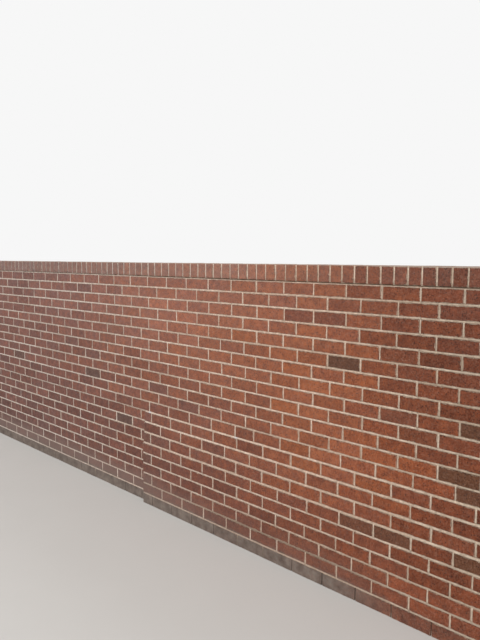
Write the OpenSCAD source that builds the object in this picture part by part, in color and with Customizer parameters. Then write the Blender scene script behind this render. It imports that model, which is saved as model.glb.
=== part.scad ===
// Brick garden wall: two bonded leaves in running bond under a cap of bricks on edge.
// X runs along the wall, the face with the step looks along -Y, and Z is up from the ground.

/* [Brick] */
// Length of a brick, which is also the width of the cap across the wall
brick_length = 193.6; // [155:0.2:240]
// Height of a brick as it is laid
brick_height = 62; // [48:0.5:80]
// Depth of a brick from its face to its back
brick_depth = 88; // [70:0.5:110]
// Thickness of the mortar joints
joint = 9.6; // [6:0.2:15]

/* [Wall] */
// Number of bays along the wall
bay_count = 6; // [4:1:8]
// Bricks laid end to end in one bay
bay_bricks = 6; // [4:1:8]
// Courses of bricks below the cap
wall_courses = 22; // [12:1:30]
// Thickness of the mortar between the front leaf and the back leaf
collar = 9.6; // [7:0.2:20]
// Depth that the bed joint under the cap is raked back from the faces
cap_rake = 3; // [0:0.5:10]

/* [Step in the front face] */
// Courses below the step
step_courses = 9; // [3:1:11]
// Distance of the step to the right of the middle of the wall
step_x = 368; // [50:1:900]
// Distance that the base to the right of the step stands out at its foot from the face above it
step_out = 26; // [8:0.5:40]
// Courses over which it comes out, each a little further than the one above
flare_courses = 4; // [1:1:9]
// Distance that the base to the left of the step lies behind the face above it
set_back = 6; // [1:0.2:6.5]

/* [Hidden] */
brick_pitch = brick_length + joint;
course_pitch = brick_height + joint;
bay_length = bay_bricks * brick_pitch;
wall_length = bay_count * bay_length - joint;

// Bay that holds the step, and the bond to the right of it, which is spread to end at the wall's end
step_bay = floor(step_x / bay_length + bay_count / 2) + 1;
base_right_length = bay_count * bay_length / 2 - step_x;
base_right_pitch = base_right_length / round(base_right_length / brick_pitch);

// Heights: the top of the base, the top of the leaves and the underside of the cap
base_top = course_bottom(step_courses);
leaf_top = course_bottom(wall_courses);
cap_bottom = leaf_top + joint;

// Places across the wall, with the middle of the whole depth at zero
wall_half = collar / 2 + brick_depth;
cap_half = brick_length / 2;
y_middle = (max(wall_half + step_out, cap_half) - max(wall_half, cap_half)) / 2;
y_face = y_middle - wall_half;
y_back_leaf = y_middle + collar / 2;

brick_red = "#9c5240";
cap_red = "#a85a46";
mortar_buff = "#b9a58c";

// Height at which a course begins, counted from 0 at the ground: the top of the bricks below it
function course_bottom(course) = course == 0 ? 0 : course * course_pitch - joint / 2;

// Line between two bays, or an end of the wall, counted from 0 at the left end
function bay_line(line) =
    line == 0 ? -wall_length / 2
    : line == bay_count ? wall_length / 2
    : (line - bay_count / 2) * bay_length;

// Running bond: on even courses the head joint lies half a brick to the left
function bond_shift(course, pitch) = course % 2 == 0 ? pitch / 2 : 0;

// Where a leaf is divided at a bay line, on one course: toothed inside the wall and plumb at its ends
function tooth(line, course) =
    line == 0 || line == bay_count ? bay_line(line)
    : bay_line(line) - bond_shift(course, brick_pitch);

// The same for the base to the right of the step, whose bond starts at the quoin
function quoin_tooth(line, course) =
    line < step_bay ? step_x
    : line == bay_count ? bay_line(line)
    : step_x + round((bay_line(line) - step_x) / base_right_pitch) * base_right_pitch
        - bond_shift(course, base_right_pitch);

// Distance that a course of the base to the right of the step stands out from the face above
function stand_out(course) = step_out * min(1, (step_courses - course) / flare_courses);

// Points up one side of a stack of courses and down the other, from each side's place on a course
function stack_outline(courses, near_edge, far_edge) = concat(
    [
        for (course = [courses[0] : courses[1]], above = [0, 1])
            [near_edge(course), course_bottom(course + above)]
    ],
    [
        for (course = [courses[1] : -1 : courses[0]], above = [1, 0])
            [far_edge(course), course_bottom(course + above)]
    ]
);

// Leaf of brickwork from one course up to another, with an outline that follows the bond at both ends
module leaf(courses, left_edge, right_edge, y_front, depth = brick_depth) {
    translate([0, y_front + depth, 0])
        rotate([90, 0, 0])
            linear_extrude(depth)
                polygon(stack_outline(courses, left_edge, right_edge));
}

// Length of the base to the right of the step, with a cross-section that follows its courses
module base_right_length(front_edge, back_edge) {
    translate([step_x, 0, 0])
        rotate([90, 0, 90])
            linear_extrude(bay_line(bay_count) - step_x)
                polygon(stack_outline([0, step_courses - 1], front_edge, back_edge));
}

// Bricks on edge across the wall
module cap_bay(bay) {
    color(cap_red)
        translate([bay_line(bay - 1), y_middle - cap_half, cap_bottom])
            cube([bay_line(bay) - bay_line(bay - 1), brick_length, brick_depth]);
}

module cap_bed_joint_bay(bay) {
    half = min(wall_half, cap_half) - cap_rake;
    color(mortar_buff)
        translate([bay_line(bay - 1), y_middle - half, leaf_top])
            cube([bay_line(bay) - bay_line(bay - 1), 2 * half, joint]);
}

module upper_leaf_bay(bay) {
    color(brick_red)
        leaf([step_courses, wall_courses - 1],
             function (course) tooth(bay - 1, course),
             function (course) tooth(bay, course),
             y_face);
}

// Base to the left of the step, cut off square where it meets the quoin
module base_left_leaf_bay(bay) {
    color(brick_red)
        leaf([0, step_courses - 1],
             function (course) tooth(bay - 1, course),
             function (course) bay == step_bay ? step_x : tooth(bay, course),
             y_face + set_back);
}

// Base to the right of the step, which comes out over its top courses and keeps a brick's depth
module base_right_leaf_bay(bay) {
    color(brick_red)
        intersection() {
            leaf([0, step_courses - 1],
                 function (course) quoin_tooth(bay - 1, course),
                 function (course) quoin_tooth(bay, course),
                 y_face - step_out,
                 brick_depth + step_out);
            base_right_length(
                function (course) y_face - stand_out(course),
                function (course) y_face - stand_out(course) + brick_depth);
        }
}

module back_leaf_bay(bay) {
    color(brick_red)
        leaf([0, wall_courses - 1],
             function (course) tooth(bay - 1, course),
             function (course) tooth(bay, course),
             y_back_leaf);
}

// Mortar between the leaves, from one place along the wall to another
module collar_joint(x_from, x_to, z_from, z_to, y_front) {
    color(mortar_buff)
        translate([x_from, y_front, z_from])
            cube([x_to - x_from, y_back_leaf - y_front, z_to - z_from]);
}

module collar_joint_upper() {
    collar_joint(bay_line(0), bay_line(bay_count), base_top, leaf_top, y_face + brick_depth);
}

module collar_joint_base_left() {
    collar_joint(bay_line(0), step_x, 0, base_top, y_face + brick_depth + set_back);
}

module collar_joint_base_right() {
    color(mortar_buff)
        base_right_length(
            function (course) y_face - stand_out(course) + brick_depth,
            function (course) y_back_leaf);
}

for (bay = [1 : bay_count]) {
    cap_bay(bay);
    cap_bed_joint_bay(bay);
    upper_leaf_bay(bay);
    back_leaf_bay(bay);
}
for (bay = [1 : step_bay]) {
    base_left_leaf_bay(bay);
}
for (bay = [step_bay : bay_count]) {
    base_right_leaf_bay(bay);
}
collar_joint_upper();
collar_joint_base_left();
collar_joint_base_right();
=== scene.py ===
import math
import bpy
import numpy as np
from mathutils import Matrix, Vector


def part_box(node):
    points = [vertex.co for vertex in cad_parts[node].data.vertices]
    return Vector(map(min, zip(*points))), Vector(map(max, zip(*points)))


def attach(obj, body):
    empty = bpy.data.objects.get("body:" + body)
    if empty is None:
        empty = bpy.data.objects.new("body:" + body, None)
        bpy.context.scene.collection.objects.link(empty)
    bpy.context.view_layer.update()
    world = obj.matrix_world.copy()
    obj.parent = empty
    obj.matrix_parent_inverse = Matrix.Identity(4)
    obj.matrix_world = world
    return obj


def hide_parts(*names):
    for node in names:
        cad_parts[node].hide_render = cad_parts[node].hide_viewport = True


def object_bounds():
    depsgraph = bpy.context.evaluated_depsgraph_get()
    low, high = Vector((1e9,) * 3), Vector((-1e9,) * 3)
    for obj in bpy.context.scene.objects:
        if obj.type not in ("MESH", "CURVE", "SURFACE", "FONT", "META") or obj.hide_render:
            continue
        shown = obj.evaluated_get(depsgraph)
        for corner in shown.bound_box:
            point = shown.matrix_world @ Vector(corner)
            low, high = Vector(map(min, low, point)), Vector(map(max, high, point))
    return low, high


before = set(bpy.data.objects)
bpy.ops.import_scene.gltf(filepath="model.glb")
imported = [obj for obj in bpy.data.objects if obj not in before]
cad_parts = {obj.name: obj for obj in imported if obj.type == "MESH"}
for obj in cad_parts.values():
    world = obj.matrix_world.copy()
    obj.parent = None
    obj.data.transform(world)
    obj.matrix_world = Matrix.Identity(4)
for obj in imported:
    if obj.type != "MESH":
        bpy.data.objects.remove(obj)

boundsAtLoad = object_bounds()
wallLow, wallHigh = (np.array(corner) for corner in boundsAtLoad)


def placed(name, data):
    thing = bpy.data.objects.new(name, data)
    bpy.context.scene.collection.objects.link(thing)
    return thing


camera = {
    "place": (3.851, -2.607, 1.695),
    "yaw": 45.34,  # degrees to the left of straight at the wall
    "pitch": 5.58,  # degrees down
    "roll": -0.24,
    "focal": 626.1,  # in pixels of a picture of this height
    "pictureHeight": 640,
    "sensor": 36.0,  # in millimetres
    "farthest": 200,
}


def makeCamera():
    yaw, pitch, roll = (math.radians(camera[name]) for name in ("yaw", "pitch", "roll"))
    ahead = Vector((-math.sin(yaw) * math.cos(pitch), math.cos(yaw) * math.cos(pitch), -math.sin(pitch)))
    right = Vector((math.cos(yaw), math.sin(yaw), 0))
    down = ahead.cross(right)
    across = right * math.cos(roll) + down * math.sin(roll)
    upward = right * math.sin(roll) - down * math.cos(roll)
    lens = bpy.data.cameras.new("viewCamera")
    lens.sensor_width = camera["sensor"]
    lens.lens = camera["focal"] * camera["sensor"] / camera["pictureHeight"]
    lens.clip_end = camera["farthest"]
    holder = placed("viewCamera", lens)
    turn = Matrix((across, upward, -ahead)).transposed()
    holder.matrix_world = Matrix.Translation(camera["place"]) @ turn.to_4x4()
    bpy.context.scene.camera = holder


class Wire:  # an output socket that takes part in sums
    def __init__(self, bench, socket):
        self.bench, self.socket = bench, socket

    def maths(self, operation, first, second):
        return self.bench.add("ShaderNodeMath", {"operation": operation}, {0: first, 1: second})

    def __add__(self, other):
        return self.maths("ADD", self, other)

    def __sub__(self, other):
        return self.maths("SUBTRACT", self, other)

    def __rsub__(self, other):
        return self.maths("SUBTRACT", other, self)

    def __mul__(self, other):
        return self.maths("MULTIPLY", self, other)

    __radd__, __rmul__ = __add__, __mul__

    def smaller(self, other):
        return self.maths("MINIMUM", self, other)

    def beside(self, output):  # another output of the same node
        return Wire(self.bench, self.socket.node.outputs[output])


class Bench:  # a material or a world, and its nodes
    def __init__(self, owner, shader, skin):
        owner.use_nodes = True
        self.owner, self.tree = owner, owner.node_tree
        self.shader = self.tree.nodes[shader]
        for socket, value in skin.items():  # what is the same all over
            self.shader.inputs[socket].default_value = value

    def add(self, kind, settings=None, inputs=None, output=0):
        node = self.tree.nodes.new(kind)
        for name, value in (settings or {}).items():
            if name == "stops":
                ramp = node.color_ramp
                while len(ramp.elements) < len(value):
                    ramp.elements.new(1)
                for element, (place, colour) in zip(ramp.elements, value):
                    element.position = place
                    element.color = (*colour, 1)
            else:
                setattr(node, name, value)
        for name, value in (inputs or {}).items():
            self.feed(node.inputs[name], value)
        return Wire(self, node.outputs[output])

    def feed(self, socket, value):
        if isinstance(value, Wire):
            self.tree.links.new(value.socket, socket)
        elif isinstance(value, tuple) and socket.type == "RGBA":
            socket.default_value = (*value, 1)
        else:
            socket.default_value = value

    def give(self, socket, value):
        self.feed(self.shader.inputs[socket], value)

    def noise(self, scale, detail, rough=0.5, offset=0.0):
        return self.add("ShaderNodeTexNoise", {"noise_dimensions": "4D"}, {
            "Vector": self.place, "W": offset, "Scale": scale, "Detail": detail, "Roughness": rough})

    def cells(self, scale):  # distance from the middle of the nearest cell
        return self.add("ShaderNodeTexVoronoi", {}, {"Vector": self.place, "Scale": scale, "Randomness": 1.0})

    def spots(self, scale, core, rim, least, most, more=0.0):
        # 1 in the middle of those cells whose random number is high enough
        away = self.cells(scale)
        number = self.parts(away.beside("Color"))[0]
        return self.fall(away, core, rim) * self.rise(number + more, least, most)

    def ramp(self, value, stops):
        return self.add("ShaderNodeValToRGB", {"stops": stops}, {"Fac": value})

    def rise(self, value, low, high):  # 0 below low, 1 above high, smooth between
        return self.add("ShaderNodeMapRange", {"interpolation_type": "SMOOTHSTEP"},
                        {"Value": value, "From Min": low, "From Max": high})

    def fall(self, value, low, high):
        return 1 - self.rise(value, low, high)

    def blend(self, amount, first, second, way="MIX"):
        colour = 2  # the third output of the node is the one for colours
        return self.add("ShaderNodeMix", {"data_type": "RGBA", "blend_type": way},
                        {"Factor": amount, "A": first, "B": second}, colour)

    def coat(self, amount, colour, way="MIX"):  # one more layer of colour over the body
        self.body = self.blend(amount, self.body, colour, way)

    def shade(self, amount):  # the body made lighter or darker
        self.body = self.add("ShaderNodeVectorMath", {"operation": "SCALE"}, {0: self.body, "Scale": amount})

    def parts(self, vector, kind="ShaderNodeSeparateColor"):
        first = self.add(kind, {}, {0: vector})
        return [Wire(self, socket) for socket in first.socket.node.outputs]

    def marks(self, name):  # the four numbers kept at each point of the mesh
        colour = self.add("ShaderNodeAttribute", {"attribute_name": name})
        return [*self.parts(colour), colour.beside("Alpha")]

    def finish(self, rough, relief, depth):  # depth of the relief in metres
        self.give("Base Color", self.body)
        self.give("Roughness", rough)
        bump = {"Strength": 0.8, "Distance": depth, "Height": relief}
        self.give("Normal", self.add("ShaderNodeBump", {}, bump))
        return self.owner


def newMaterial(name, skin):
    bench = Bench(bpy.data.materials.new(name), "Principled BSDF", skin)
    bench.place = bench.add("ShaderNodeTexCoord", output="Object")  # metres in the wall's own frame
    return bench


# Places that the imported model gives

bond = {
    "coursePitch": 0.0716, "brickPitch": 0.2032, "joint": 0.0096, "brickDepth": 0.088,
    "courses": 22, "baseCourses": 9, "flareCourses": 4, "bays": 6, "stepBay": 4,
    "capBricks": 17,
}
bays = range(1, bond["bays"] + 1)
capLow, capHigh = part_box("cap_bay_1")
wallLeft, wallRight = wallLow[0], wallHigh[0]
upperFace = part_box("upper_leaf_bay_1")[0].y
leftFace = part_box("base_left_leaf_bay_1")[0].y
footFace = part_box("base_right_leaf_bay_6")[0].y
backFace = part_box("back_leaf_bay_1")[1].y
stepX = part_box("base_right_leaf_bay_4")[0].x
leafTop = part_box("upper_leaf_bay_1")[1].z
bayLines = [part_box(f"cap_bay_{bay}")[0].x for bay in bays] + [wallRight]
basePitch = (wallRight + bond["joint"] / 2 - stepX) / round((wallRight - stepX) / bond["brickPitch"])


def standOut(course):  # how far the base comes out, right of the step
    return (upperFace - footFace) * min(1, max(0, bond["baseCourses"] - course) / bond["flareCourses"])


def brickTop(course):
    return (course + 1) * bond["coursePitch"] - bond["joint"] / 2


def columns(*values):
    return np.column_stack(np.broadcast_arrays(*values))


def graded(places, stops):  # a value that changes along the wall from stop to stop
    return np.interp(places, *zip(*stops))


def between(value, low, high):  # 0 at low, 1 at high
    return np.clip((value - low) / (high - low), 0, 1)


def hashed(cell, seed):
    value = (cell[..., 0] * 73856093) ^ (cell[..., 1] * 19349663) ^ (cell[..., 2] * 83492791)
    value = (value ^ (seed * 2654435)) & 0xFFFFFFFF
    for shift in (13, 15, 11):
        value = ((value ^ (value >> shift)) * 0x45D9F3B) & 0xFFFFFFFF
    return (value ^ (value >> 16)) / 0xFFFFFFFF


def grain(points, size, seed):  # smooth noise from 0 to 1 with cells of this size
    where = np.asarray(points, float) / size
    cell = np.floor(where).astype(np.int64)
    part = where - cell
    part = part * part * (3 - 2 * part)
    total = 0
    for corner in np.ndindex(2, 2, 2):
        weight = np.prod(np.where(corner, part, 1 - part), -1)
        total = total + weight * hashed(cell + np.array(corner), seed)
    return total


def chips(points, seed):  # 0 where an arris is whole, near 1 where it is worn most
    notches = grain(points, 0.013, seed + 1) * 0.6 + grain(points, 0.034, seed + 2) * 0.55
    return np.clip(notches - 0.52, 0, 1) * 2.2


def rubble(points, seed):  # the coarse surface of mortar, about 0 on average
    return grain(points, 0.016, seed) + 0.5 * grain(points, 0.006, seed + 1) - 0.75


# How the bed joints wave, and the number of courses below and above that stay nearly level
wave = {"length": 0.55, "height": 0.0045, "calm": 3, "seed": 11}


def courseWave(course, x, side):  # how far a bed joint strays from level, in metres
    settled = between(course, 0, wave["calm"]) * between(bond["courses"] - course, 0, wave["calm"])
    line = np.stack(np.broadcast_arrays(x / wave["length"], course * 7.3, 0.5), -1)
    return (grain(line, 1.0, wave["seed"] + side) - 0.5) * wave["height"] * settled


def settle(points, course, side, low, high):  # bricks and head joints follow the two beds they lie between
    share = between(points[:, 2], low, high)
    points[:, 2] += (1 - share) * courseWave(course, points[:, 0], side)
    points[:, 2] += share * courseWave(course + 1, points[:, 0], side)


class Pile:  # small shapes that become the mesh of one piece
    def __init__(self):
        self.count, self.points, self.marks = 0, [], {}
        self.faces, self.maps, self.smooth = ({4: [], 3: []} for _ in range(3))

    def add(self, points, shape, maps, marks, turned=False):
        # points: copies x vertices x 3; shape has the faces of one copy; maps: a UV for each corner
        copies, size = points.shape[:2]
        starts = self.count + np.arange(copies)[:, None, None] * size
        way = -1 if turned else 1
        for sides, faces in shape["faces"].items():
            smooth = np.arange(len(faces)) < (shape["smooth"] if sides == 4 else 0)
            self.faces[sides].append((faces[:, ::way] + starts).reshape(-1, sides))
            self.maps[sides].append(maps[sides][:, :, ::way].reshape(-1, 2))
            self.smooth[sides].append(np.tile(smooth, copies))
        self.points.append(points.reshape(-1, 3))
        for name, values in marks.items():
            values = np.broadcast_to(values, (copies, size, 4)).reshape(-1, 4)
            self.marks.setdefault(name, []).append(values)
        self.count += copies * size

    def build(self, name, material):
        points = np.clip(np.concatenate(self.points), wallLow, wallHigh)
        faces = self.faces[4] + self.faces[3]
        corners = np.concatenate([some.ravel() for some in faces])
        sizes = np.concatenate([np.full(len(some), some.shape[1]) for some in faces])
        mesh = bpy.data.meshes.new(name)
        for items, what, values, kind in ((mesh.vertices, "co", points, np.float32),
                                          (mesh.loops, "vertex_index", corners, np.int32),
                                          (mesh.polygons, "loop_start", np.cumsum(sizes) - sizes, np.int32)):
            items.add(len(values))
            items.foreach_set(what, values.astype(kind).ravel())
        mesh.polygons.foreach_set("use_smooth", np.concatenate(self.smooth[4] + self.smooth[3]))
        spread = np.concatenate(self.maps[4] + self.maps[3])
        mesh.uv_layers.new(name="OFBake").data.foreach_set("uv", spread.astype(np.float32).ravel())
        for key, values in self.marks.items():
            layer = mesh.attributes.new(key, "FLOAT_COLOR", "POINT")
            layer.data.foreach_set("color", np.concatenate(values).astype(np.float32).ravel())
        mesh.update(calc_edges=True)
        mesh.materials.append(material)
        piece = placed(name, mesh)
        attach(piece, "root")
        return piece


def gridQuads(long, wide):  # between rows of points, each as many points wide
    return [(k * wide + c, k * wide + c + 1, (k + 1) * wide + c + 1, (k + 1) * wide + c)
            for k in range(long) for c in range(wide - 1)]


def fan(chain, first, last, flip=False):  # closes a side between a chain of points and two corners
    middle = len(chain) // 2
    faces = [(chain[k], chain[k + 1], first) for k in range(middle)]
    faces.append((chain[middle], last, first))
    faces += [(chain[k], chain[k + 1], last) for k in range(middle, len(chain) - 1)]
    return [(a, c, b) for a, b, c in faces] if flip else faces


def inside(size, seed):  # a small random shift for each copy
    return np.random.default_rng(seed).uniform(-1, 1, size)


noEdge = 0.03  # distance that stands for no edge of a brick near by

stretcher = {
    # Grid of the face: a share of the brick's size and metres from there
    "columns": ((0, 0), (0, 0.004), (0.13, 0), (0.26, 0), (0.38, 0), (0.5, 0),
                (0.62, 0), (0.74, 0), (0.87, 0), (1, -0.004), (1, 0)),
    "rows": ((0, 0), (0, 0.0045), (0.5, 0), (1, -0.0045), (1, 0)),
    "arris": 0.0015,  # rounding of the edges
    "sideLoop": 0.010,  # depth of the last loop round the sides
    "wear": (0.0001, 0.0008),  # least and most that an arris is worn back
    "corner": 0.0006,  # and a corner more than that
    "relief": 0.0007,  # waviness of the face
    "paintedShade": 0.55, "paintedShadeDepth": 0.006,  # painted shade on the sides in the joints, and from what depth
    "faceShift": 0.0008,  # how far a brick stands in or out
    "turn": 0.0007,  # how far one end stands out past the other
    "lean": 0.0004,
    "slope": 0.0009,  # how far one end lies above the other
    "shortening": 0.0016,
    "thinning": 0.0005,
}


def stretcherShape():
    # A row for each point: place along and up, both as a share and metres from there, depth, the two
    # sides that it is on, rounding, shift on the map, and 1 on an arris
    across, upward = stretcher["columns"], stretcher["rows"]
    wide, high, r = len(across), len(upward), stretcher["arris"]
    loop = [*((c, 0) for c in range(wide)), *((wide - 1, k) for k in range(1, high)),
            *((c, high - 1) for c in range(wide - 2, -1, -1)), *((0, k) for k in range(high - 2, 0, -1))]
    points = []

    def add(c, k, depth, inset, spread, edge):
        side = ((c == wide - 1) - (c == 0), (k == high - 1) - (k == 0))
        points.append((*across[c], *upward[k], depth, *side, inset, spread, edge))

    for k in range(high):
        for c in range(wide):
            edge = float((c, k) in loop)
            add(c, k, 0.0, r * edge, 0.0, edge)
    quads, ring, size = gridQuads(high - 1, wide), [k * wide + c for c, k in loop], len(loop)
    for depth, inset, spread, edge in ((r * 0.3, r * 0.3, 0.0006, 1.0), (r, 0.0, 0.0014, 1.0),
                                       (stretcher["sideLoop"], 0.0, 0.0034, 0.0)):
        fresh = range(len(points), len(points) + size)
        for c, k in loop:
            add(c, k, depth, inset, spread, edge)
        quads += [(ring[i], fresh[i], fresh[(i + 1) % size], ring[(i + 1) % size]) for i in range(size)]
        ring = fresh
    back = len(points)
    for c, k in ((0, 0), (wide - 1, 0), (wide - 1, high - 1), (0, high - 1)):
        add(c, k, bond["brickDepth"], 0.0, 0.0046, 0.0)
    triples, at = [], 0
    for corner, length in enumerate((wide - 1, high - 1, wide - 1, high - 1)):
        chain = [ring[(at + i) % size] for i in range(length + 1)]
        triples += fan(chain, back + corner, back + (corner + 1) % 4, True)
        at += length
    quads.append((back, back + 3, back + 2, back + 1))
    return {"points": np.array(points), "faces": {4: np.array(quads), 3: np.array(triples)},
            "smooth": len(quads) - 1}


stretcherForm = stretcherShape()


def layStretchers(pile, bricks, side, seed, window, ends):
    # bricks: a row each of left, right, low, high, face and four colour marks; ends: where an end shows
    share, more, upShare, upMore, deep, sideways, upward, inset, shift, arris = stretcherForm["points"].T
    left, right, low, high, face = (bricks[:, i, None] for i in range(5))
    trim, thin, which, turn, lean, push, slope, _ = inside((len(bricks), 8), seed).T[..., None]
    shown = ((left == ends[0]) & (sideways < 0)) | ((right == ends[1]) & (sideways > 0))
    trim, thin = stretcher["shortening"] * np.abs(trim), stretcher["thinning"] * np.abs(thin)
    left, right = left + trim * (which > 0), right - trim * (which <= 0)
    low, high = low + thin * 0.3, high - thin * 0.7
    x = left + share * (right - left) + more
    z = low + upShare * (high - low) + upMore
    depth = np.broadcast_to(deep, x.shape)
    spread = window(x + sideways * np.where(shown, np.maximum(depth, shift), shift), z + upward * shift)
    inJoint = (deep > stretcher["arris"] * 0.9) & ~shown
    rim = np.where(inJoint[..., None], noEdge, np.stack([x - left, right - x, z - low, high - z], -1))
    for i, way in ((0, -1), (1, 1)):  # an end that shows starts again at its own arris
        rim[..., i] = np.where(shown & (sideways == way), depth, rim[..., i])
    # Worn arrises and corners, then a gently uneven face
    where = np.stack([x, depth + face, z], -1)
    least, most = stretcher["wear"]
    worn = arris * (least + most * chips(where, seed))
    cut = inset + worn + (np.abs(sideways) + np.abs(upward) > 1) * arris * stretcher["corner"]
    uneven = (grain(where, 0.03, seed + 3) - 0.35) * stretcher["relief"] * (deep < 0.0005)
    tilt = turn * stretcher["turn"] * (share - 0.5) + lean * stretcher["lean"] * (upShare - 0.5)
    points = np.stack([x - sideways * cut,
                       face - side * (depth + uneven + worn * 0.5 + tilt + push * stretcher["faceShift"]),
                       z - upward * cut + slope * stretcher["slope"] * (share - 0.5)], -1)
    maps = {sides: spread[:, faces] for sides, faces in stretcherForm["faces"].items()}
    maps[4][:, -1] = window.spare(len(bricks))[:, ::-side]
    fired = np.repeat(bricks[:, None, 5:9], len(share), 1)
    # Painted shade: the sides of a brick inside a joint are made darker, as if in shadow
    fired[..., 1] += between(depth, 0, stretcher["paintedShadeDepth"]) * inJoint * stretcher["paintedShade"]
    pile.add(points, stretcherForm, maps, {"rim": rim, "fired": fired}, turned=side > 0)


class Window:  # fits a face of the wall into the square of its map
    margin, foot, top = 0.006, 0.03, 0.995

    def __init__(self, left, right, low, high, count):
        self.start, self.size = np.array([left, low]) - self.margin, np.array([right - left, high - low])
        self.count, self.used = count, 0

    def __call__(self, x, z):
        u, v = np.moveaxis((np.stack([x, z], -1) - self.start) / (self.size + 2 * self.margin), -1, 0)
        return np.stack([u, self.foot + (self.top - self.foot) * v], -1)

    def spare(self, count):  # places for the hidden back of each brick
        start = (self.used + np.arange(count)) / self.count
        self.used += count
        end = start + 0.7 / self.count
        u = np.stack([start, start, end, end], -1)
        return np.stack([u, np.broadcast_to([0.004, 0.022, 0.022, 0.004], u.shape)], -1)


mortarBar = {
    "recess": {"bed": 0.0017, "head": 0.0014},  # depth of the joint's face behind the bricks
    "endRecess": 0.0030,  # the same at the ends of the wall
    "hidden": 0.0030,  # how far a bar runs into the bricks above and below
    "hiddenDepth": 0.0100,
    "ragged": 0.00208, "drawnIn": 0.0002,  # how far its edges stray, and lie back on average
    "rough": 0.0009, "hollow": 0.0003,  # how far its face strays, and how much deeper its middle is
    # Painted shade across a joint, from its low or right edge to the other: on beds, on heads and under the
    # cap
    "paintedShade": {"bed": (0.40, 0.30, 0.0, 0.24, 0.4), "head": (0.3, 0.22, 0.0, 0.3, 0.46),
              "cap": (0.0, 0.0, 0.22, 1.0, 1.0)},
    "capShade": ((0.1, 0.15), (0.45, 2.0), (1.35, 2.0), (1.7, 1.0)),  # strength of the painted shadow under the cap, along the wall
    # How far the middle and the edges come forwards where the joint is full, and the edges over the bricks
    "smear": {"middle": 0.0024, "edge": 0.002064, "over": 0.001488},
    "smearReach": 0.03, "lumpReach": 0.010,
    "atStep": (0.006, 0.003),  # how far past the step the left bed ends and the right one starts
    "filled": (-0.0015, 0.0010),  # the left bed under the face above: shift of its low and high edges
    "capBed": (0.0012, 0.011),  # how far the bed under the cap starts lower, and is raked back at its top
    "quoinJoint": (-0.0062, 0.002),  # edges of the head joints against the quoin, from the step
    "headMore": 0.002,  # how far a head joint runs into the beds
    "toothing": 0.05,  # joints so far left of a bay line belong to the next bay
    "seeds": {"bed": 3000, "cap": 3900, "head": 5000, "footShut": 70, "headTone": 80},
    "shares": (0.0, 0.12, 0.5, 0.88, 1.0),  # the five points across a bar on its map
    "steps": {"head": 7, -1: 96, 1: 60},  # along a head joint, and a bed at the front and back
}


def barShape(steps):
    # Points by station along the bar: the front's five, then the back's corners
    rows, wide = len(mortarBar["shares"]), 0.94  # the rest of its map is for its two ends
    front = [(s, t) for s in range(steps + 1) for t in range(rows)]
    spots = [(wide * s / steps, 0.06 + 0.88 * mortarBar["shares"][t]) for s, t in front]
    spots += [(0, 0.03), (wide, 0.03), (0, 0.97), (wide, 0.97)]
    lowLeft, lowRight, highLeft, highRight = range(len(front), len(spots))
    quads = gridQuads(steps, rows)
    triples = (fan(range(0, len(front), rows), lowLeft, lowRight)
               + fan(range(rows - 1, len(front), rows), highLeft, highRight, True))
    flat = {sides: [[spots[i] for i in face] for face in faces] for sides, faces in ((4, quads), (3, triples))}
    quads.append((lowLeft, lowRight, highRight, highLeft))
    flat[4].append([(0, 0.97), (wide, 0.97), (wide, 1), (0, 1)])
    for start, low, high, way, near, far in ((0, lowLeft, highLeft, -1, 0.948, 0.971),
                                             (steps * rows, lowRight, highRight, 1, 0.975, 0.998)):
        outline = [low, *range(start, start + rows), high]
        around = [(far, 0.1), *((near, 0.1 + 0.8 * share) for share in mortarBar["shares"]), (far, 0.9)]
        for k in range(1, rows + 1):
            triples.append((outline[0], outline[k], outline[k + 1])[::way])
            flat[3].append([around[0], around[k], around[k + 1]][::way])
    return {"front": np.array(front), "steps": steps, "smooth": len(quads) - 1,
            "faces": {4: np.array(quads), 3: np.array(triples)},
            "flat": {sides: np.array(spread, float) for sides, spread in flat.items()}}


barForms = {kind: barShape(steps) for kind, steps in mortarBar["steps"].items()}


def fitted(flat, rectangles):  # a map moved into rectangles of u0, v0, u1 and v1
    return rectangles[..., :2] + flat * (rectangles[..., 2:] - rectangles[..., :2])


def bumps(length, spots, reach):  # spots: place and height of each
    return sum(amount * np.exp(-((length - place) / reach) ** 2) for place, amount in spots)


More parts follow.
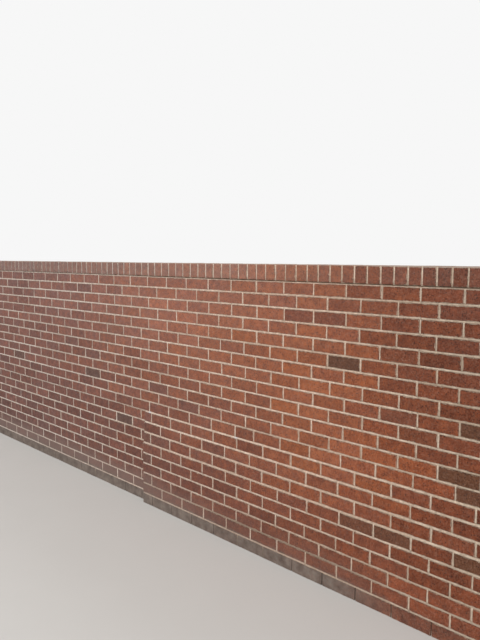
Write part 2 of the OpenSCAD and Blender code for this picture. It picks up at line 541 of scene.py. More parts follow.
def layBars(pile, bars, side, seed, rectangles, marks, paintedShade, upright=False, smears=(), lumps=(), dirtAndShade=(),
            shade=((0, 1),)):
    # bars: start, end, low edge, high edge, face at the low edge, face at the high edge, and the leaf's back
    form = barForms["head" if upright else side]
    station, row = form["front"].T
    start, end, low, high, lowFace, highFace, back = (bars[:, i, None] for i in range(7))
    length = start + station / form["steps"] * (end - start)
    share, over, edge = np.array([[0.0, 0.0, 0.5, 1.0, 1.0], [-1.0, 0.0, 0.0, 0.0, 1.0],
                                  [0.0, -1.0, 0.0, 1.0, 0.0]])[:, row]
    across = low + share * (high - low) + over * mortarBar["hidden"]
    where = np.stack([length, np.broadcast_to(lowFace, length.shape) + row * 0.011, across], -1)
    if upright:
        where = where[..., ::-1]
    rough = rubble(where, seed)
    full = np.clip(grain(where, 0.05, seed + 2) * 1.25 - 0.95, 0, 0.5) * 2
    full = full + bumps(length, smears, mortarBar["smearReach"])
    smear, middle = mortarBar["smear"], row == 2
    across = across + edge * (rough * mortarBar["ragged"] - mortarBar["drawnIn"] + full * smear["over"])
    depth = (mortarBar["recess"]["head" if upright else "bed"] + middle * mortarBar["hollow"]
             + rough * mortarBar["rough"] - full * np.where(middle, smear["middle"], smear["edge"]))
    depth = np.where(over == 0, depth, mortarBar["hiddenDepth"])
    front = np.stack([length, lowFace + share * (highFace - lowFace) - side * depth, across], -1)
    points = np.concatenate([front, *(np.stack([place, back, level], -1)
                                      for level in (low - mortarBar["hidden"], high + mortarBar["hidden"])
                                      for place in (start, end))], 1)
    if upright:
        points = points[..., ::-1]
    laid = np.repeat(marks[:, None], points.shape[1], 1)
    seen = laid[:, :len(row)]
    # Painted shade along the joint's edges, left out where the joint is full
    edgeShade = np.array(paintedShade[::-1] if upright else paintedShade)[row] * graded(length, shade)
    seen[..., 1] = np.maximum(seen[..., 1], edgeShade * (1 - np.clip(full, 0, 1)))
    if dirtAndShade:
        seen[..., 1] = np.maximum(seen[..., 1], graded(length, dirtAndShade))
    seen[..., 0] = bumps(length, lumps, mortarBar["lumpReach"])
    maps = {sides: fitted(flat, rectangles[:, None, None]) for sides, flat in form["flat"].items()}
    pile.add(points, form, maps, {"laid": laid}, turned=(side > 0) != upright)


def boxShape(*counts):
    # A closed box of grids, whose points are held as steps along x, y and z
    index, quads, flat, sheet = {}, [], [], []
    for axis, (first, second) in enumerate(((1, 2), (0, 2), (0, 1))):
        for end in (0, 1):
            way = 1 if (end == 1) != (axis == 1) else -1
            for i, j in np.ndindex(counts[first], counts[second]):
                corners, spots = [], []
                for di, dj in ((0, 0), (1, 0), (1, 1), (0, 1)):
                    place = [0, 0, 0]
                    place[axis], place[first], place[second] = end * counts[axis], i + di, j + dj
                    corners.append(index.setdefault(tuple(place), len(index)))
                    spots.append(((i + di) / counts[first], (j + dj) / counts[second]))
                quads.append(corners[::way])
                flat.append(spots[::way])
                sheet.append(axis * 2 + end)
    return {"steps": np.array(list(index)), "faces": {4: np.array(quads)}, "smooth": len(quads),
            "flat": np.array(flat), "sheet": np.array(sheet)}


def boxPoints(form, lines, rounding):
    # lines: for each axis, copies x steps of places; rounding: radius of the edges
    points = np.stack([line[:, steps] for line, steps in zip(lines, form["steps"].T)], -1)
    low, high = (np.stack([line[:, [end]] for line in lines], -1) for end in (0, -1))
    core = np.clip(points, low + rounding, high - rounding)
    away = points - core
    length = np.linalg.norm(away, axis=-1, keepdims=True)
    return np.where(length > 1e-9, core + away / np.maximum(length, 1e-9) * rounding, points), away


def boxSheet(u0, u1, bands):  # bands: the low and high edge of each side's strip of the map
    sheet = np.zeros((len(u0), 6, 4))
    for side, (v0, v1) in bands.items():
        sheet[:, side] = columns(u0, v0, u1, v1)
    return sheet


def boxMaps(form, sheet):  # sheet: copies x 6 sides x rectangle
    return {4: fitted(form["flat"], sheet[:, form["sheet"]][:, :, None])}


def gridLines(low, high, values):  # values: a share of the way from low to high, and metres more
    low, high = (np.atleast_1d(v)[:, None] for v in np.broadcast_arrays(low, high))
    share, more = np.array(values, float).T
    return low + (high - low) * share + more


def evenly(count):
    return [(k / count, 0) for k in range(count + 1)]


# How far the head joints stray along the wall: (place, shift) in metres on each course that does
frontDrift = {
    20: ((0.3, 0.0), (3.5, -0.018)), 19: ((0.3, 0.012), (3.5, -0.006)), 18: ((0.3, 0.008), (3.5, -0.032)),
    17: ((0.3, 0.008), (3.5, -0.005)), 16: ((0.3, 0.022), (3.5, -0.026)), 15: ((0.3, 0.009), (3.5, -0.014)),
    14: ((0.8, 0.026), (3.5, -0.008)), 13: ((0.8, 0.012), (3.5, -0.004)), 12: ((0.6, 0.028), (3.5, -0.010)),
    11: ((0.5, 0.007), (3.5, -0.006)), 10: ((1.3, 0.021), (3.5, -0.007)),
    9: ((0.3, 0.006), (1.22, 0.037), (1.23, -0.014), (3.5, -0.005)),
}
baseDrift = {
    8: ((0.45, -0.027), (2.2, -0.003)), 7: ((0.45, -0.022), (1.9, 0.001)), 6: ((0.45, -0.022), (2.6, 0.012)),
    5: ((0.45, -0.002), (2.0, 0.023), (3.5, 0.011)), 4: ((0.45, -0.005), (1.8, 0.010), (3.5, 0.004)),
    3: ((0.45, -0.004), (1.0, 0.0), (1.6, 0.005), (3.5, 0.012)),
    2: ((0.45, -0.003), (1.0, 0.0), (3.5, 0.009)), 1: ((0.45, 0.0), (1.0, 0.017), (3.5, 0.015)),
    0: ((0.45, 0.002), (1.0, 0.010), (1.5, 0.016), (1.8, 0.029), (3.5, 0.028)),
}

# How the head joints of a course stray besides
laying = {
    "turn": -0.3,  # the tables above hold right of this place, and the lean left of it
    "leanTop": 0.010, "leanMore": 0.018, "leanMost": 0.045,  # left by the metre, more at the foot, at most
    "headStray": 0.0022, "widthLess": 0.0015, "widthStray": 0.0013,
    "footWidth": 0.55,  # head joints of the lowest course are narrower
    "shortest": 0.03,  # no head joint is nearer to the end of a leaf
}

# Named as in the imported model, where a node is called upper_leaf_bay_1, for one
leaves = {
    "upper": {"courses": range(9, 22), "side": -1, "left": wallLeft, "right": wallRight,
              "drift": frontDrift, "seed": 100, "slot": "face_brick"},
    "base_left": {"courses": range(0, 9), "side": -1, "left": wallLeft, "right": stepX - 0.006,
                  "drift": {}, "seed": 200, "slot": "base_brick"},
    "base_right": {"courses": range(0, 9), "side": -1, "left": stepX, "right": wallRight,
                   "drift": baseDrift, "seed": 300, "slot": "base_brick"},
    "back": {"courses": range(0, 22), "side": 1, "left": wallLeft, "right": wallRight,
             "drift": {}, "seed": 400, "slot": "face_brick"},
}

# Bricks that came out of the kiln dark: (course, middle of the brick) and how dark
darkBricks = {
    (19, 1.94): 0.20, (19, 1.74): 0.15, (17, 2.34): 0.30, (16, 2.02): 0.95, (20, -0.40): 0.20,
    (14, -0.61): 0.35, (13, 2.72): 0.85, (13, 2.34): 0.32, (13, -0.93): 0.25, (13, -0.31): 0.30,
    (12, 2.44): 0.35, (11, 0.52): 0.30, (11, -0.31): 0.85, (11, -1.57): 0.72, (10, 2.65): 0.80,
    (10, 0.83): 0.25, (9, 2.74): 0.75, (7, 0.10): 0.95, (7, 1.08): 0.32, (5, 2.72): 0.75,
    (5, 2.34): 0.65, (5, 2.15): 0.55, (5, -0.10): 0.35,
    (8, 0.42): 0.10, (6, 0.42): 0.50, (6, 0.57): 0.30, (4, 0.42): 0.55, (2, 0.42): 0.45,
}


def faceOf(name, course):
    if name == "base_right":
        return upperFace - standOut(course)
    return {"upper": upperFace, "base_left": leftFace, "back": backFace}[name]


# How the bricks' colour changes along the wall, their own tone together with painted light and shade: pairs of
# a place and a value
batches = {
    # The warmer, lighter band from 0 to 1.8 m is painted sunlight
    "tone": ((-3.6, 0.46), (-1.2, 0.53), (0.0, 0.72), (1.0, 0.82), (1.8, 0.82), (2.6, 0.38), (3.6, 0.34)),
    # The heavier film to the left is partly painted sheen
    "film": ((-3.6, 1.0), (-1.2, 1.0), (0.0, 0.85), (1.0, 0.55), (1.8, 0.22), (2.6, -0.10), (3.6, -0.10)),
    "stray": 0.06, "filmStray": 0.18, "ironStray": (0.20, 0.80),
    # Less tone and more iron low down are painted shade
    "lowTone": ((1.4, -0.30), (2.6, -0.10)), "lowIron": 0.36,
    "highFilm": ((1.2, 0.26), (2.2, 0.08)), "topFilm": ((0.9, 0.0), (1.2, 0.16), (2.0, 0.14), (2.9, 0.18)),
    # More iron high on the right is painted shade
    "iron": ((1.9, 0.10), (2.5, 0.60)),
    "low": (1.04, 0.24), "high": (0.9, 1.5), "top": (1.24, 1.44), "up": (0.3, 0.8),  # heights of none and all
    "darkShare": 0.008, "dark": (0.15, 0.45), "plain": (0, 0.12),
    "backStretch": 0.5,  # the back changes half as fast along the wall
}

# Patches of painted light on the bricks, or with a minus painted shade: place, height, reach along and up,
# less iron and more tone
lightAndShadePatches = ((0.50, 1.40, 0.75, 0.20, 0.60, 0.0), (2.20, 0.70, 0.40, 0.20, 0.60, 0.12),
            (2.75, 0.12, 0.25, 0.06, 1.00, 0.05), (0.62, 1.25, 0.18, 0.10, 0.35, 0.0),
            (1.55, 0.17, 0.75, 0.10, -0.20, 0.0), (1.65, 0.57, 0.18, 0.10, -0.20, 0.0))


def colourMarks(places, height, seed):
    # tone from brown-red to orange, darkness, specks, film
    dice, count = np.random.default_rng(seed), len(places)
    lower, high, top, up = (between(height, *batches[name]) for name in ("low", "high", "top", "up"))
    tone = dice.normal(0, batches["stray"], count) + graded(places, batches["tone"])
    tone += graded(places, batches["lowTone"]) * lower
    dark = np.where(dice.random(count) < batches["darkShare"], dice.uniform(*batches["dark"], count),
                    dice.uniform(*batches["plain"], count))
    film = dice.random(count) * batches["filmStray"] + graded(places, batches["film"])
    film += graded(places, batches["highFilm"]) * high + graded(places, batches["topFilm"]) * top
    # Iron darkens the whole brick: a random share, with painted shade high on the right and low down
    iron = dice.uniform(*batches["ironStray"], count)
    iron += graded(places, batches["iron"]) * up + batches["lowIron"] * lower
    # Painted light and shade in patches
    for place, middle, reach, spread, paler, warmer in lightAndShadePatches:
        near = np.exp(-((places - place) / reach) ** 2 / 2 - ((height - middle) / spread) ** 2 / 2)
        iron -= paler * near
        tone += warmer * near
    return columns(np.clip(tone, 0, 1), dark, iron, np.clip(film, 0, None))


def layCourse(name, course):
    # The bricks of one course of a leaf with the bay of each, the joints between them, and low and high
    leaf, front = leaves[name], leaves[name]["side"] < 0
    pitch, origin = (basePitch, stepX) if name == "base_right" else (bond["brickPitch"], 0.0)
    shift = pitch / 2 if course % 2 == 0 else 0.0
    first = math.ceil((leaf["left"] + laying["shortest"] - origin - shift) / pitch)
    last = math.floor((leaf["right"] - laying["shortest"] - origin - shift) / pitch)
    middles = origin + shift + np.arange(first, last + 1) * pitch
    moved = middles + graded(middles, ((laying["turn"], 0.0), *leaf["drift"].get(course, ((0, 0),))))
    if front:
        lean = laying["leanTop"] + laying["leanMore"] * (1 - course / bond["courses"])
        moved -= np.clip(lean * (laying["turn"] - middles), 0, laying["leanMost"])
    slack, wider = inside((len(middles), 2), leaf["seed"] * 50 + course).T
    moved = moved + slack * laying["headStray"]
    width = bond["joint"] - laying["widthLess"] + wider * laying["widthStray"]
    width = width * (laying["footWidth"] if course == 0 else 1)
    heads = columns(moved - width / 2, moved + width / 2)
    left, right = np.append(leaf["left"], heads[:, 1]), np.append(heads[:, 0], leaf["right"])
    nominal = np.concatenate([[leaf["left"]], middles, [leaf["right"]]])
    lines = np.array(bayLines[1:-1])  # where the leaf is divided, by its own bond
    if name == "base_right":
        lines = stepX + np.round((lines[bond["stepBay"] - 1:] - stepX) / basePitch) * basePitch
    bay = 1 + ((nominal[1:] + nominal[:-1])[:, None] / 2 > lines - shift).sum(1)
    bay += (bond["stepBay"] - 1) * (name == "base_right")
    low = brickTop(course - 1) + bond["joint"] if course else 0.0
    high = leafTop if course == bond["courses"] - 1 else brickTop(course)
    marks = colourMarks((left + right) / 2 * (1 if front else batches["backStretch"]), low,
                        leaf["seed"] * 91 + course)
    for (row, place), dark in darkBricks.items():
        if row == course and front:
            marks[(left < place) & (right > place), :3] = 0.35, dark, 0.32 + dark * 0.64
    return columns(left, right, low, high, faceOf(name, course), *marks.T), bay, heads, (low, high)


face = {
    "brown": (0.128, 0.036, 0.018), "red": (0.228, 0.061, 0.026), "orange": (0.350, 0.104, 0.035),
    "burnt": (0.128, 0.051, 0.026), "speck": (0.026, 0.014, 0.011), "bloom": (0.172, 0.130, 0.132),
    "ash": (0.165, 0.112, 0.088), "grit": (0.400, 0.235, 0.150), "mud": (0.170, 0.140, 0.119),
    "splash": (0.210, 0.150, 0.130), "dustAndHighlight": (0.420, 0.345, 0.285),
    # Size in cells to the metre, detail, roughness and offset of each noise
    "noises": {"cloud": (24, 3, 0.6), "fleck": (150, 2, 0.6, 3.0), "fine": (460, 2, 0.65, 5.0),
               "patch": (75, 3, 0.65, 31.0), "veil": (13, 4, 0.6, 8.0), "mottle": (38, 3, 0.6, 24.0),
               "ragged": (130, 3, 0.7, 12.0), "smeared": (14, 2, 0.5, 15.0), "fringe": (170, 3, 0.65, 17.0),
               "wideFringe": (44, 2, 0.5, 18.0), "splashed": (7, 4, 0.6, 20.0),
               "splashEdge": (60, 3, 0.6, 21.0), "caked": (11, 3, 0.6, 23.0)},
    # Spots: how many to the metre, core, rim, and the random number that a cell needs
    "gritSpots": (150, 0.14, 0.42, 0.66, 0.72), "ironSpots": (118, 0.19, 0.44, 0.70, 0.77),
    "amounts": {"ash": 0.46, "grit": 0.42, "speck": 0.84, "smear": 0.75, "fringe": 0.8, "arrisShade": 0.34},
    "relief": 0.0012,
}
mortar = {
    "sand": (0.470, 0.378, 0.286), "pale": (0.600, 0.510, 0.405), "stain": (0.265, 0.195, 0.140),
    "lime": (0.640, 0.650, 0.680), "mud": (0.190, 0.155, 0.120),
    "tints": ((-0.6, (1.10, 1.12, 1.27)), (0.6, (1.16, 1.10, 1.17)), (1.8, (1.14, 1.03, 1.04)),
              (2.7, (0.925, 0.885, 0.875))),  # places along the wall, and what the colour is multiplied by
    "brightest": 1.3,  # the tints are divided by this in the ramp, where no colour is over 1
    "noises": {"sandy": (480, 2, 0.7), "cloud": (30, 4, 0.6, 2.0), "crumbs": (160, 2, 0.6, 3.0),
               "lumpy": (66, 3, 0.6, 7.0), "grainy": (95, 2, 0.5, 4.0), "stained": (16, 4, 0.65, 6.0),
               "splashed": (7, 4, 0.6, 20.0), "rough": (170, 3, 0.6, 9.0)},
    "grains": 300, "relief": 0.0014, "amounts": {"grains": 0.45, "stained": 0.4, "mud": 0.85},
}
mineral = {"IOR": 1.45, "Specular IOR Level": 0.25}


def brickMaterial():
    bench, much = newMaterial("firedClay", mineral), face["amounts"]
    tone, dark, specks, film = bench.marks("fired")
    run, depth, height = bench.parts(bench.place, "ShaderNodeSeparateXYZ")
    left, right, low, high = bench.marks("rim")
    (cloud, fleck, fine, patch, veil, mottle, ragged, smeared, fringe, wideFringe, splashed, splashEdge,
     caked) = (bench.noise(*noise) for noise in face["noises"].values())
    # Body: clouds, flecks about 7 mm across, and a fine grain
    bench.body = bench.ramp(tone + (cloud - 0.5) * 0.6 + (fleck - 0.5) * 0.5,
                            [(0.05, face["brown"]), (0.5, face["red"]), (1.0, face["orange"])])
    # The darkness mark also holds the painted shade on the sides inside the joints
    bench.coat(bench.rise(dark * 1.15 + (cloud - 0.5) * dark * 0.9, 0.06, 1.0), face["burnt"])
    bench.shade(fleck * 1.5 + fine * 1.2 + patch * 0.8 + cloud * 0.9 - 1.16)
    # Paler patches a centimetre across, grit, and iron specks of a few millimetres in about one cell of four
    bench.coat(bench.rise(patch * 0.6 + fleck * 0.4, 0.46, 0.66) * much["ash"], face["ash"])
    bench.coat(bench.spots(*face["gritSpots"]) * much["grit"], face["grit"])
    spot = bench.spots(*face["ironSpots"], specks * 0.09)
    bench.coat(spot * much["speck"], face["speck"])
    # Grey film, heavier on some bricks and to the left, where it is partly painted sheen; bricks with more
    # iron are darker all over, and the iron mark also carries painted light and shade
    bench.coat(film * (veil * 0.42 + patch * 0.34), face["bloom"])
    bench.shade(1.20 - specks * 0.36 + (mottle - 0.5) * (film * 0.9 + 0.1))
    # Mortar smeared over the arrises here and there
    edge = left.smaller(right).smaller(low.smaller(high))
    smear = bench.rise(ragged * 0.0056 - edge, 0.0002, 0.0010) * bench.rise(smeared, 0.55, 0.66)
    bench.coat(smear * much["smear"], mortar["sand"])
    # Painted shade on the bricks' upper arrises below the cap, where the light would otherwise catch them
    arrisShade = bench.fall(high, 0.0010, 0.0046) * bench.fall(height, leafTop - 0.001, leafTop + 0.001)
    bench.shade(1 - arrisShade * much["arrisShade"])
    fringe = bench.rise((fringe - 0.5) * 0.015 + (wideFringe - 0.5) * 0.012 - edge, 0.0, 0.0006)
    bench.coat(fringe * much["fringe"], mortar["sand"])
    # Dust settled on the very top, a pale strip of dust and painted highlight along the cap's top front arris,
    # splashes above the ground and mud at the foot
    onCap = bench.rise(height, capLow.z - 0.003, capLow.z + 0.001)
    bench.coat(onCap * (0.01 + film * 0.09), face["dustAndHighlight"])
    # Dust and painted highlight: a pale strip along the cap's top front arris, wider on the nearer part
    lower = bench.rise(run, 1.9, 2.5) * 0.0035
    settled = bench.rise(height + fleck * 0.003 + lower, capHigh.z - 0.0045, capHigh.z - 0.0005)
    arris = bench.fall(depth, capLow.y + 0.003, capLow.y + 0.016)
    bench.coat(settled * (fleck * 0.55 + arris * 0.5), face["dustAndHighlight"])
    uneven = splashed * 0.055 + splashEdge * 0.02
    damp = 1 - bench.rise(run, 1.95, 2.45) * bench.fall(depth, -0.04, 0.09) * 0.85
    splash = bench.fall(height - uneven * 2.2, 0.02, 0.18) * (1 - bench.rise(run, 0.1, 1.4) * 0.75)
    bench.coat(splash * damp * (0.42 + fleck * 0.5), face["splash"])
    foot = bench.fall(height - uneven, 0.026, 0.058) * damp
    bench.coat(foot * (patch * 0.7 + fleck * 0.5 + cloud * 0.7 - 0.10), face["mud"])
    bench.shade(1 + foot * (caked + cloud - 1.0) * 1.2)
    relief = fleck * 0.9 + fine * 0.6 - spot * 0.5 + (smear + fringe) * 0.4
    return bench.finish(0.80 + fine * 0.16 - spot * 0.15, relief, face["relief"])


def mortarMaterial():
    bench, much = newMaterial("sandMortar", mineral), mortar["amounts"]
    lime, dirtAndShade, tone, _ = bench.marks("laid")
    run, _, height = bench.parts(bench.place, "ShaderNodeSeparateXYZ")
    sandy, cloud, crumbs, lumpy, grainy, stained, splashed, rough = (
        bench.noise(*noise) for noise in mortar["noises"].values())
    paler = bench.rise(cloud + (tone - 0.5) * 0.3, 0.35, 0.72)
    bench.body = bench.blend(paler, mortar["sand"], mortar["pale"])
    # Uneven all over, and darker high and low in the nearer part of the wall
    high = (bench.rise(height, 0.8, 1.5) * bench.rise(run, 1.9, 2.6)
            * bench.fall(height, leafTop - 0.004, leafTop))
    low = bench.fall(height, 0.3, 0.7) * bench.rise(run, 0.1, 0.5) * bench.fall(run, 2.0, 2.4)
    bench.shade((sandy * 0.7 + crumbs * 1.1 + lumpy * 1.2 - 0.46) * (1.02 - high * 0.11 - low * 0.10))
    first, brightest = mortar["tints"][0][0], mortar["brightest"]
    wide = mortar["tints"][-1][0] - first
    stops = [((at - first) / wide, tuple(v / brightest for v in tint)) for at, tint in mortar["tints"]]
    bench.shade(brightest)
    bench.coat(1.0, bench.ramp((run - first) * (1 / wide), stops), "MULTIPLY")
    dark = bench.fall(bench.cells(mortar["grains"]), 0.10, 0.30) * bench.rise(grainy, 0.46, 0.62)
    bench.coat(dark * much["grains"], mortar["stain"])
    bench.coat(bench.rise(stained, 0.56, 0.78) * much["stained"], mortar["stain"])
    bench.coat(lime, mortar["lime"])
    # Real dirt together with painted shade at the joints' edges, under the cap and in the open joints of the
    # lowest course
    bench.coat(dirtAndShade * (0.10 + cloud * 0.4 + crumbs * 1.3), mortar["stain"])
    bench.coat(bench.fall(height - splashed * 0.04, 0.010, 0.050) * much["mud"], mortar["mud"])
    return bench.finish(0.86 + sandy * 0.12, sandy * 0.8 + rough - dark * 0.4, mortar["relief"])


clay, sand = brickMaterial(), mortarMaterial()
print("materials made")

makeCamera()

courses = {(name, course): layCourse(name, course) for name in leaves for course in leaves[name]["courses"]}

# The bricks of each leaf, one piece for each bay
brickCount = 0
for name, leaf in leaves.items():
    ends = (stepX if name == "base_right" else wallLeft, wallRight)
    for bay in bays:
        chosen = []
        for course in leaf["courses"]:
            bricks, bayOf, _, _ = courses[name, course]
            if (bayOf == bay).any():
                chosen.append((course, bricks[bayOf == bay]))
        if not chosen:
            continue
        left, right, low, high = np.concatenate([own for _, own in chosen])[:, :4].T
        window = Window(left.min() - bond["brickDepth"] * (left.min() == ends[0]),
                        right.max() + bond["brickDepth"] * (right.max() == ends[1]),
                        low.min(), high.max(), len(left))
        pile = Pile()
        for course, own in chosen:
            layStretchers(pile, own, leaf["side"], leaf["seed"] * 40 + course * 7, window, ends)
            settle(pile.points[-1], course, leaf["side"],
                   course * bond["coursePitch"], (course + 1) * bond["coursePitch"])
        piece = pile.build(f"brickwork_{name}_bay_{bay}", clay)
        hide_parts(f"{name}_leaf_bay_{bay}")
        brickCount += len(left)
print(brickCount, "stretchers laid")


capBrick = {
    # Grid lines: a share of the brick's size and metres from there
    "across": ((0, 0), (0, 0.0020), (0, 0.012), (0.5, 0), (1, -0.012), (1, -0.0020), (1, 0)),
    "deep": ((0, 0), (0, 0.0020), (0, 0.020), (0.35, 0), (0.65, 0), (1, -0.020), (1, -0.0020), (1, 0)),
    "high": ((0, 0), (0, 0.0020), (0, 0.014), (0.5, 0), (1, -0.014), (1, -0.0020), (1, 0)),
    "rounding": 0.0020,  # of the edges
    "wear": (0.0002, 0.0013),  # least and most that an edge is worn back
    "relief": 0.0008,  # waviness of the sides
    "inset": 0.0013,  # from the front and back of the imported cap
    "shift": 0.0012,  # how far a brick stands out from there
    "below": 0.0004, "sink": 0.0012,  # least and most that a brick lies below the very top
    "stray": 0.0009, "widthStray": 0.0012,  # of the joints
    # Colours, by place along the wall
    "iron": ((0.6, 0.0), (1.0, -0.25), (1.5, -0.22), (1.9, 0.25), (2.1, 0.25), (2.4, 0.0)),
    "film": ((0.9, 0.14), (1.3, 0.04), (2.3, -0.02)),
    "lessTone": ((1.6, 0.0), (2.4, 0.12)),
    "drift": ((-1.0, 0.0), (0.35, -0.017), (0.85, -0.007), (1.6, -0.0115), (2.0, -0.001), (2.25, 0.0055),
              (2.6, 0.0015), (3.6, 0.0)),  # how far the joints stray along the wall
    "kept": (1.0, 0.6, 0.55, 1.0), "moreIron": 0.2,  # share of each colour mark that is kept on the cap
    "seed": 900,
    # Strips of the map, by side: 0 left, 1 right, 2 front, 3 back, 4 bottom, 5 top
    "bands": {4: (0.002, 0.010), 0: (0.014, 0.022), 1: (0.026, 0.034), 2: (0.13, 0.34), 5: (0.36, 0.76),
              3: (0.78, 0.99)},
    "endMap": ((0.02, 0.04, 0.32, 0.12), (0.66, 0.04, 0.96, 0.12)),  # the wall's own ends on it
}
capForm = boxShape(*(len(capBrick[name]) - 1 for name in ("across", "deep", "high")))


def capLayout():
    # Left and right edges, push and height of each brick on edge, with a joint on each bay line
    edges = [wallLeft - bond["joint"] / 2, *bayLines[1:-1], wallRight + bond["joint"] / 2]
    lines = [np.linspace(*pair, bond["capBricks"] + 1)[:-1] for pair in zip(edges, edges[1:])]
    lines = np.append(np.concatenate(lines), edges[-1])
    stray, wider, push, sunk, _ = inside((len(lines), 5), capBrick["seed"]).T
    lines += graded(lines, capBrick["drift"]) + stray * capBrick["stray"]
    gap = bond["joint"] + wider * capBrick["widthStray"]
    left, right = lines[:-1] + gap[:-1] / 2, lines[1:] - gap[1:] / 2
    left[0], right[-1] = wallLeft, wallRight
    top = capHigh.z - capBrick["below"] - np.abs(sunk[:-1]) * capBrick["sink"]
    return columns(left, right, push[:-1] * capBrick["shift"], top)


capBricks = capLayout()


def layCapBricks(pile, own, bay):
    (left, right, push, top), seed = own.T, capBrick["seed"]
    front, back = capLow.y + capBrick["inset"] + push, capHigh.y - capBrick["inset"] + push
    lines = [gridLines(left, right, capBrick["across"]), gridLines(front, back, capBrick["deep"]),
             gridLines(capLow.z, top, capBrick["high"])]
    points, away = boxPoints(capForm, lines, capBrick["rounding"])
    rim = np.stack([points[..., 0] - left[:, None], right[:, None] - points[..., 0],
                    points[..., 2] - capLow.z, np.full(points.shape[:2], noEdge)], -1)
    rounded = np.abs(away) > 1e-9
    onEdge = rounded.sum(-1) > 1
    least, most = capBrick["wear"]
    worn = onEdge * (least + most * chips(points, seed + 60))
    points = points - np.sign(away) * worn[..., None]
    out = points - np.stack([(line[:, :1] + line[:, -1:]) / 2 for line in lines], -1)
    uneven = grain(points, 0.03, seed + 63) * capBrick["relief"] * ~onEdge
    points = points - np.sign(out) * (rounded | (np.abs(out) > 0.03)) * uneven[..., None]
    points[..., 2] = np.maximum(points[..., 2], capLow.z)
    start, end = bayLines[bay - 1], bayLines[bay]
    sheet = boxSheet((left - start) / (end - start) + 0.001, (right - start) / (end - start) - 0.001,
                     capBrick["bands"])
    for side, endBay in ((0, 1), (1, bond["bays"])):
        if bay == endBay:  # no joint meets the wall's own end, and it shows
            rim[-side, :, side] = noEdge
            sheet[-side, side] = capBrick["endMap"][side]
    marks = colourMarks((left + right) / 2, capLow.z, seed + 50 + bay) * capBrick["kept"]
    iron = capBrick["moreIron"] + graded(left, capBrick["iron"])
    marks += columns(-graded(left, capBrick["lessTone"]), 0, iron, graded(left, capBrick["film"]))
    pile.add(points, capForm, boxMaps(capForm, sheet), {"rim": rim, "fired": marks[:, None]})


for bay in bays:
    pile = Pile()
    layCapBricks(pile, capBricks[(bay - 1) * bond["capBricks"]:bay * bond["capBricks"]], bay)
    piece = pile.build(f"cap_bricks_bay_{bay}", clay)
    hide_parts(f"cap_bay_{bay}")
print("cap laid")

# What is seen on the front's beds and heads: places along the wall, and how much
limeLumps = {9: ((0.421, 1.0), (1.266, 0.9)), 16: ((0.220, 0.8),)}
bedSmears = {13: ((1.872, 0.9),), 14: ((1.80, 0.4),), 18: ((2.139, 0.7),), 19: ((2.221, 0.7),)}
headSmears = {(15, 2.439): 0.8, (16, 2.529): 0.7, (17, 2.84): 0.5, (18, 2.84): 0.4}
bedDirt = {  # right of the step
    1: ((0.3, 0.30), (3.6, 0.20)),
    2: ((0.3, 0.45), (0.9, 0.55), (1.3, 0.9), (1.9, 0.9), (2.3, 0.45), (3.6, 0.25)),
}

# The mortar's map: how many rows, how high they reach, the gaps, and the head joints that fit in a row
mapRows = {"count": 4 * bond["courses"] + 2, "top": 0.80, "gap": 0.04, "side": 0.002, "heads": 8}


def rowOf(number, parts=1, part=0):
    high = mapRows["top"] / mapRows["count"]
    return [part / parts + mapRows["side"], (number + mapRows["gap"]) * high,
            (part + 1) / parts - mapRows["side"], (number + 1 - mapRows["gap"]) * high]


def mortarSpan(bay):  # the mortar stays back at the wall's own ends
    trim = mortarBar["endRecess"]
    return bayLines[bay - 1] + trim * (bay == 1), bayLines[bay] - trim * (bay == bond["bays"])


def bedFaces(bed, side, region):  # the faces below and above a bed joint
    if side > 0:
        return backFace, backFace
    below = "upper" if bed > bond["baseCourses"] else region
    above = "upper" if bed >= bond["baseCourses"] else region
    return faceOf(below, bed - 1), faceOf(above, bed)


def layBeds(pile, bay, side, number):
    (start, end), paintedShade, seeds = mortarSpan(bay), mortarBar["paintedShade"], mortarBar["seeds"]
    for bed in range(1, bond["courses"]):
        spans = [(start, end, "base_left" if bay < bond["stepBay"] else "base_right")]
        if side < 0 and bay == bond["stepBay"] and bed <= bond["baseCourses"]:
            stop, go = mortarBar["atStep"]
            spans = [(start, stepX + stop, "base_left"), (stepX + go, end, "base_right")]
        smears, lumps = (bedSmears.get(bed, ()), limeLumps.get(bed, ())) if side < 0 else ((), ())
        for part, (first, last, region) in enumerate(spans):
            lowFace, highFace = bedFaces(bed, side, region)
            setBack = side < 0 and bed == bond["baseCourses"] and region == "base_left"
            if setBack:  # filled out under the face above
                lowFace, highFace = lowFace + mortarBar["filled"][0], highFace + mortarBar["filled"][1]
            middle, half = bed * bond["coursePitch"], bond["joint"] / 2
            back = max(lowFace, highFace) + bond["brickDepth"] if side < 0 else backFace - bond["brickDepth"]
            layBars(pile, np.array([[first, last, middle - half, middle + half, lowFace, highFace, back]]),
                    side, seeds["bed"] + bed * 17 + side, np.array([rowOf(number, len(spans), part)]),
                    np.array([[0.0, 0.0, hashed(np.array([bed, bay, side]), 5), 1.0]]),
                    (0.0,) * 5 if setBack else paintedShade["bed"], False, smears, lumps,
                    bedDirt.get(bed, ()) if side < 0 and region == "base_right" else ())
            points = pile.points[-1]
            points[:, 2] += courseWave(bed, points[:, 0], side)
        number += 1
    # The bed under the cap, raked back, with a painted shadow under the cap's overhang
    faceY, (lower, raked) = upperFace if side < 0 else backFace, mortarBar["capBed"]
    bar = [[start, end, leafTop - lower, capLow.z, faceY, faceY - side * raked, (upperFace + backFace) / 2]]
    layBars(pile, np.array(bar), side, seeds["cap"] + side, np.array([rowOf(number)]),
            np.array([[0.0, 0.0, 0.6, 1.0]]), paintedShade["cap"], shade=mortarBar["capShade"])
    return number + 1


# Head joints of the lowest course: the share that is full, how deep the rest are washed out, and their dirt
# and painted shade
footJoints = {"shut": 0.30, "depth": 0.011, "dirtAndShade": 0.6}


